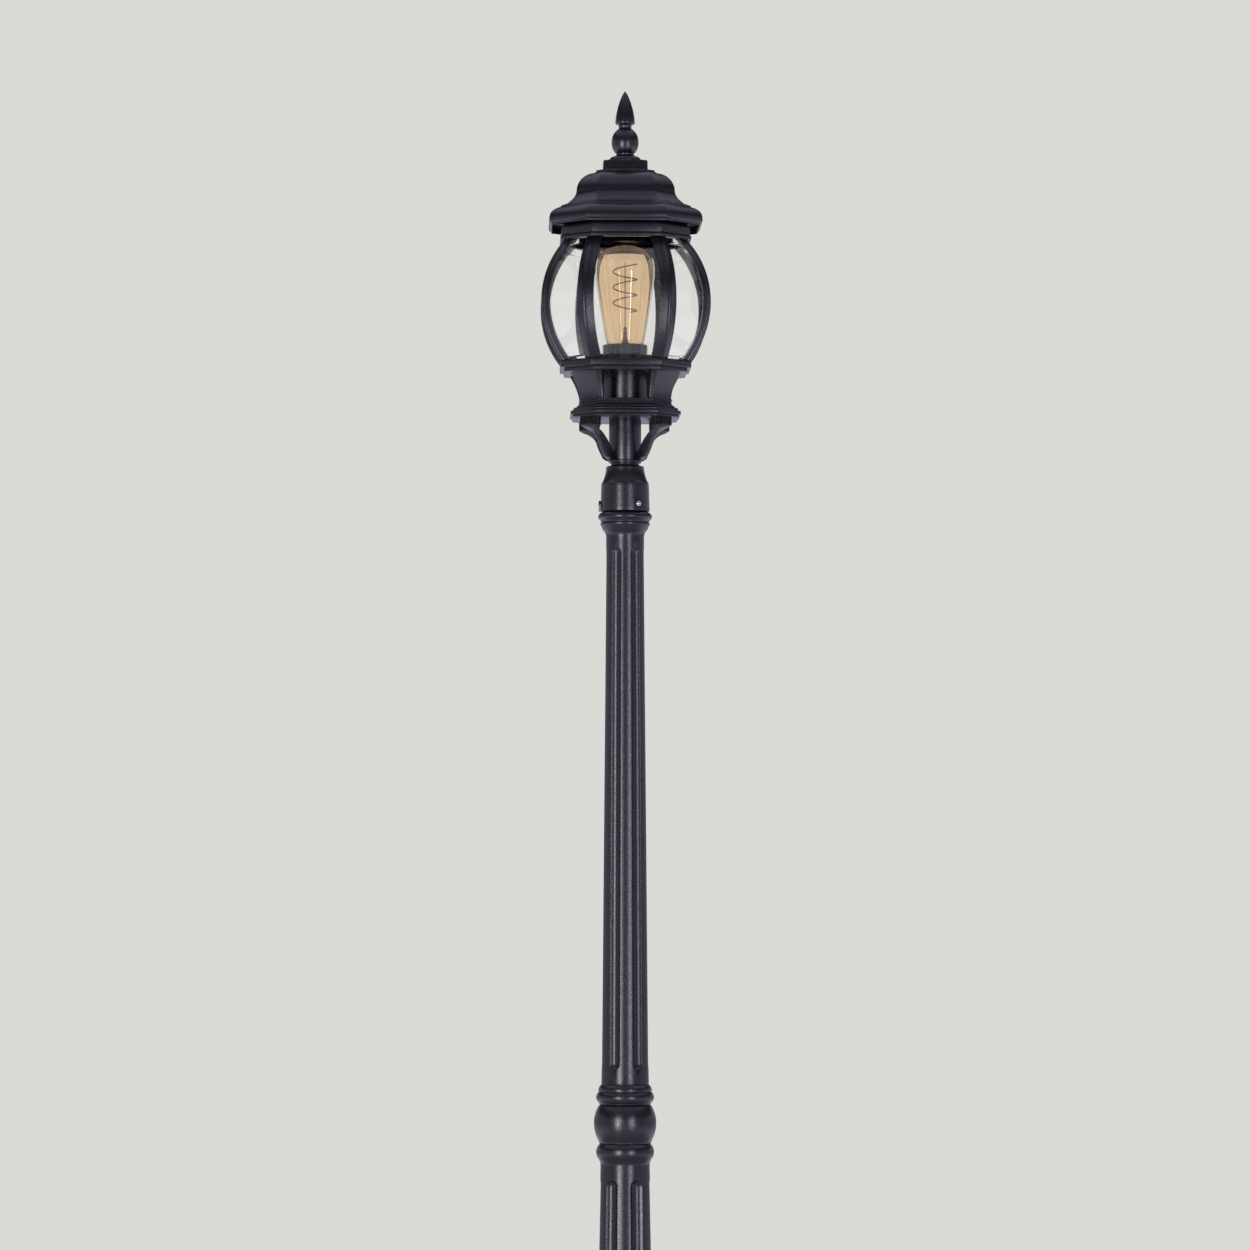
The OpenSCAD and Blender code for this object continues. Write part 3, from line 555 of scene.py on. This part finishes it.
class Flutes:
    """Where one post's flutes run, and how deep they are there."""

    def __init__(self, node):
        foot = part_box(node)[0].z
        z0, z1 = (MM * z for z in FLUTES[node]["ends"])
        w0, w1 = (MM * w for w in FLUTES[node]["halves"])
        r0, r1 = (MM * r for r in FLUTES[node]["radii"])
        self.turn = math.radians(FLUTES[node]["turn"])
        self.shaft = (r0, r1)
        self.ends = (foot + z0, foot + z1)
        self.middles = (foot + z0 + w0, foot + z1 - w1)
        self.cutter = (cutter_radius(r0, w0), cutter_radius(r1, w1))

    def heights(self):
        """Rows along the flutes, close together at their round ends."""
        low, high = self.ends
        count = round((high - low) / FLUTE_STEP)
        rows = [low + (high - low) * i / count for i in range(count + 1)]
        for end, way in ((low, 1), (high, -1)):
            rows += [end + way * FLUTE_TIP * (i / FLUTE_TIP_ROWS) ** 1.5
                     for i in range(FLUTE_TIP_ROWS + 1)]
            rows.append(end - way * FLUTE_MARGIN)
        return rows

    def radius(self, r, z, azimuth):
        """Radius of the post there: the shaft's own r, or less where a flute runs."""
        low, high = self.middles
        share = (min(max(z, low), high) - low) / (high - low)
        cut = self.cutter[0] + (self.cutter[1] - self.cutter[0]) * share
        past = max(low - z, z - high, 0)
        if past >= cut:
            return r
        cut = math.sqrt(cut * cut - past * past)
        along = (z - self.ends[0]) / (self.ends[1] - self.ends[0])
        middle = self.shaft[0] + (self.shaft[1] - self.shaft[0]) * along + CUTTER_STAND
        off = from_flute(azimuth, self.turn, 2 * math.pi / FLUTE_COUNT)
        inside = cut * cut - (middle * math.sin(off)) ** 2
        if inside <= 0:
            return r
        floor = middle * math.cos(off) - math.sqrt(inside)
        soft = max(FLUTE_EDGE - abs(r - floor), 0) / FLUTE_EDGE
        return min(r, floor) - soft * soft * FLUTE_EDGE / 4


def post_outline(node, clear=18):
    """Closed outline of a fluted post, from corners between the flutes.

    They are at least the clear angle, in degrees, from the middle of a flute. The outline
    starts at the bore's foot, runs up the outside, and ends at the bore's head.
    """
    bm = welded(node)
    bore = min(v.co.xy.length for v in bm.verts)
    low, high = (corner.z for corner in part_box(node))
    start, end = (low + MM * z for z in FLUTES[node]["ends"])
    seen = {}
    for v in bm.verts:
        if start < v.co.z < end:
            continue
        off = from_flute(math.degrees(math.atan2(v.co.y, v.co.x)), FLUTES[node]["turn"],
                         360 / FLUTE_COUNT)
        r = v.co.xy.length
        if abs(off) > clear and r > bore + BORE_CLEAR:
            seen.setdefault((round(r, 5), round(v.co.z, 5)), (r, v.co.z))
    bm.free()
    middle = (low + high) / 2
    side = sorted(seen.values(), key=lambda p: (p[1], p[0] if p[1] < middle else -p[0]))
    return [(bore, low)] + side + [(bore, high)]


def fluted(node, radius=0.5 * MM, columns=288):
    """A post length with its flutes cut into a fine grid of faces."""
    knots = post_outline(node)
    bore = knots[0][0]
    flutes = Flutes(node)
    knots = rounded(knots, radius, True)
    split = next(i for i, (p, q) in enumerate(zip(knots, knots[1:])) if q[1] - p[1] > SHAFT_LEAST)
    (ra, za), (rb, zb) = knots[split], knots[split + 1]
    rows = sorted(z for z in set(flutes.heights()) if za < z < zb)
    shaft = [(ra + (rb - ra) * (z - za) / (zb - za), z) for z in rows]
    bm = bmesh.new()
    rings = []
    for r, z in knots[:split + 1] + shaft + knots[split + 1:]:
        outside = za <= z <= zb and r > bore + BORE_CLEAR
        ring = []
        for k in range(columns):
            a = 2 * math.pi * k / columns
            at = flutes.radius(r, z, a) if outside else r
            ring.append(bm.verts.new((at * math.cos(a), at * math.sin(a), z)))
        rings.append(ring)
    for low, high in zip(rings, rings[1:] + rings[:1]):
        for k in range(columns):
            j = (k + 1) % columns
            bm.faces.new((low[k], low[j], high[j], high[k]))
    finish_mesh(bm, node + "_fluted", node, sharp=45)


# ---- filament ----

TIP_LEAST = 0.3           # share of the wire's radius left at its very tip


def coil(node, radius, wire, turns, rings=400, sides=16):
    """Spiral tube between the node's lower and upper ends, with domed tips."""
    low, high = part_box(node)[0].z + wire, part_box(node)[1].z - wire
    rise = high - low
    slope = math.atan2(rise, 2 * math.pi * radius * turns)
    rows = []
    for i in range(rings + 1):
        share = i / rings
        a = 2 * math.pi * turns * (share - 1)
        # Distance along the wire from the nearer tip, in wire radii, up to where the dome ends
        tip = min(min(share, 1 - share) * rise / math.sin(slope) / wire, 1)
        thick = wire * max(math.sqrt(1 - (1 - tip) ** 2), TIP_LEAST)
        out = Vector((math.cos(a), math.sin(a), 0))
        on = Vector((-math.sin(a), math.cos(a), 0))
        up = Vector((0, 0, 1)) * math.cos(slope) - on * math.sin(slope)
        middle = out * radius + Vector((0, 0, low + rise * share))
        rows.append([middle + (out * math.cos(b) - up * math.sin(b)) * thick
                     for b in (2 * math.pi * k / sides for k in range(sides))])
    finish_mesh(strip(rows), node + "_coil", node, sharp=60)


# ---- ribs and panels ----

CAGE_STEPS = 64           # rows from the ribs' foot to their head
PANEL_EDGE = 0.35 * MM    # chamfer along a panel's upright edges
PANEL_GAP = 0.6 * MM      # between a panel's upright edge and its face's corner
# Section of a rib from its corner outwards, in millimetres: distance along a leg, and depth
# under the crown
RIB_SECTION = [(0.7, 0.0), (1.5, 0.0), (1.75, 0.28), (2.25, 0.28), (2.5, 0.0), (3.6, 0.0),
               (3.9, 0.12), (4.0, 0.4), (4.1, 0.8), (4.4, 0.9), (9.5, 0.9), (9.85, 1.0),
               (10.0, 1.3), (10.0, 2.6), (9.8, 2.8)]


def cage_rows(row):
    """What a row function gives at each height from the ribs' foot to their head."""
    return [row(RIB_FOOT + (RIB_HEAD - RIB_FOOT) * i / CAGE_STEPS)
            for i in range(CAGE_STEPS + 1)]


def rib_row(z):
    """Section of a rib at height z, with a leg on a wide face and one on a narrow face."""
    def on_wide(s, depth):
        h = glazing(z, depth * MM)
        return (face(h) - s * MM, h, z)

    def on_narrow(s, depth):
        h = glazing(z, depth * MM)
        side = s * MM * math.sqrt(0.5)
        return (face(h) + side, h - side, z)

    wide = [on_wide(s, depth) for s, depth in reversed(RIB_SECTION)]
    narrow = [on_narrow(s, depth) for s, depth in RIB_SECTION]
    return wide + narrow + [on_wide(0, RIB_T / MM)]


def make_rib(index):
    """Ribs go round in mirrored pairs, two to each wide face."""
    bm = strip(cage_rows(rib_row))
    if index % 2:
        bmesh.ops.scale(bm, vec=(-1, 1, 1), verts=bm.verts)
    bmesh.ops.rotate(bm, matrix=Matrix.Rotation(math.radians(90 * (index // 2)), 3, "Z"),
                     verts=bm.verts)
    node = f"rib_{index + 1}"
    finish_mesh(bm, node + "_skin", node, sharp=26)


def panel_row(z, wide):
    """Section of a wide or a narrow panel at height z."""
    outer = glazing(z, RIB_T + GLASS_GAP)
    inner = glazing(z, RIB_T + GLASS_GAP + GLASS_T)

    def half(h):
        return (face(h) if wide else TILT * (h - CORE)) - PANEL_GAP

    shift = 0 if wide else CORE * TILT
    wo, wi = half(outer), half(inner)
    right = [(wi - PANEL_EDGE, inner), (wi, inner + PANEL_EDGE),
             (wo, outer - PANEL_EDGE), (wo - PANEL_EDGE, outer)]
    return ([(x, y + shift, z) for x, y in right] +
            [(-x, y + shift, z) for x, y in reversed(right)])


def make_panel(node, turn, wide):
    bm = strip(cage_rows(lambda z: panel_row(z, wide)))
    bmesh.ops.rotate(bm, matrix=Matrix.Rotation(math.radians(turn), 3, "Z"), verts=bm.verts)
    finish_mesh(bm, node + "_clear", node, sharp=35)


# ---- the object ----

TURNED = ("ball_knop", "stem_tube", "finial", "lampholder_can", "lampholder_insert",
          "bulb_glass", "bulb_cap", "bulb_contact", "filament_stem", "thread_shell")
# Nodes whose corners are rounded, each with its radius in millimetres
SKINNED = {
    "roof_shell": 0.7, "roof_skirt": 0.4, "top_ring": 0.35, "cap_block": 0.5,
    "gallery_ring": 0.4, "neck_casting": 0.35, "bottom_plate": 0.4, "fitter_collar": 0.3,
    **{f"scroll_arm_{k}": 0.35 for k in range(1, 5)},
    "base_casting": 0.6, "post_spigot": 0.4,
    **{f"set_screw_{k}": 0.25 for k in range(1, 4)},
    "arm_screws": 0.4, "tie_nut": 0.4, "bolt_nut": 0.4, "terminal_block": 0.6,
}

make_camera()
make_world()
softbox("left_box", azimuth=CAMERA_AZIMUTH - 26, distance=3.6, height=1.0, size=(0.52, 2.0),
        power=68, color=(0.98, 0.97, 1.04))
softbox("right_box", azimuth=CAMERA_AZIMUTH + 25.5, distance=3.6, height=1.0, size=(0.38, 2.0),
        power=42, color=(0.86, 0.89, 1.12))

bpy.ops.mesh.primitive_circle_add(vertices=128, radius=FLOOR_RADIUS, fill_type="NGON",
                                  location=(0, 0, cad_box[0].z - FLOOR_GAP))
floor = bpy.context.object
floor.name = "floor"
floor.data.materials.append(floor_look())

for node in TURNED:
    turned(node)
for node in FLUTES:
    fluted(node)
coil("filament", radius=13 * MM, wire=0.7 * MM, turns=3.2)
for node, radius in SKINNED.items():
    skin(node, radius * MM)
for index in range(8):
    make_rib(index)
for k in range(4):
    make_panel(f"wide_panel_{k + 1}", (180 + 90 * k) % 360, True)
    make_panel(f"narrow_panel_{k + 1}", (225 + 90 * k) % 360, False)

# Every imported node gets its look: those that nothing replaces are shown as they are
for node, thing in frame["nodes"].items():
    thing.data.materials.clear()
    thing.data.materials.append(LOOKS[SLOT[node]])

bpy.context.scene.view_settings.view_transform = "Standard"
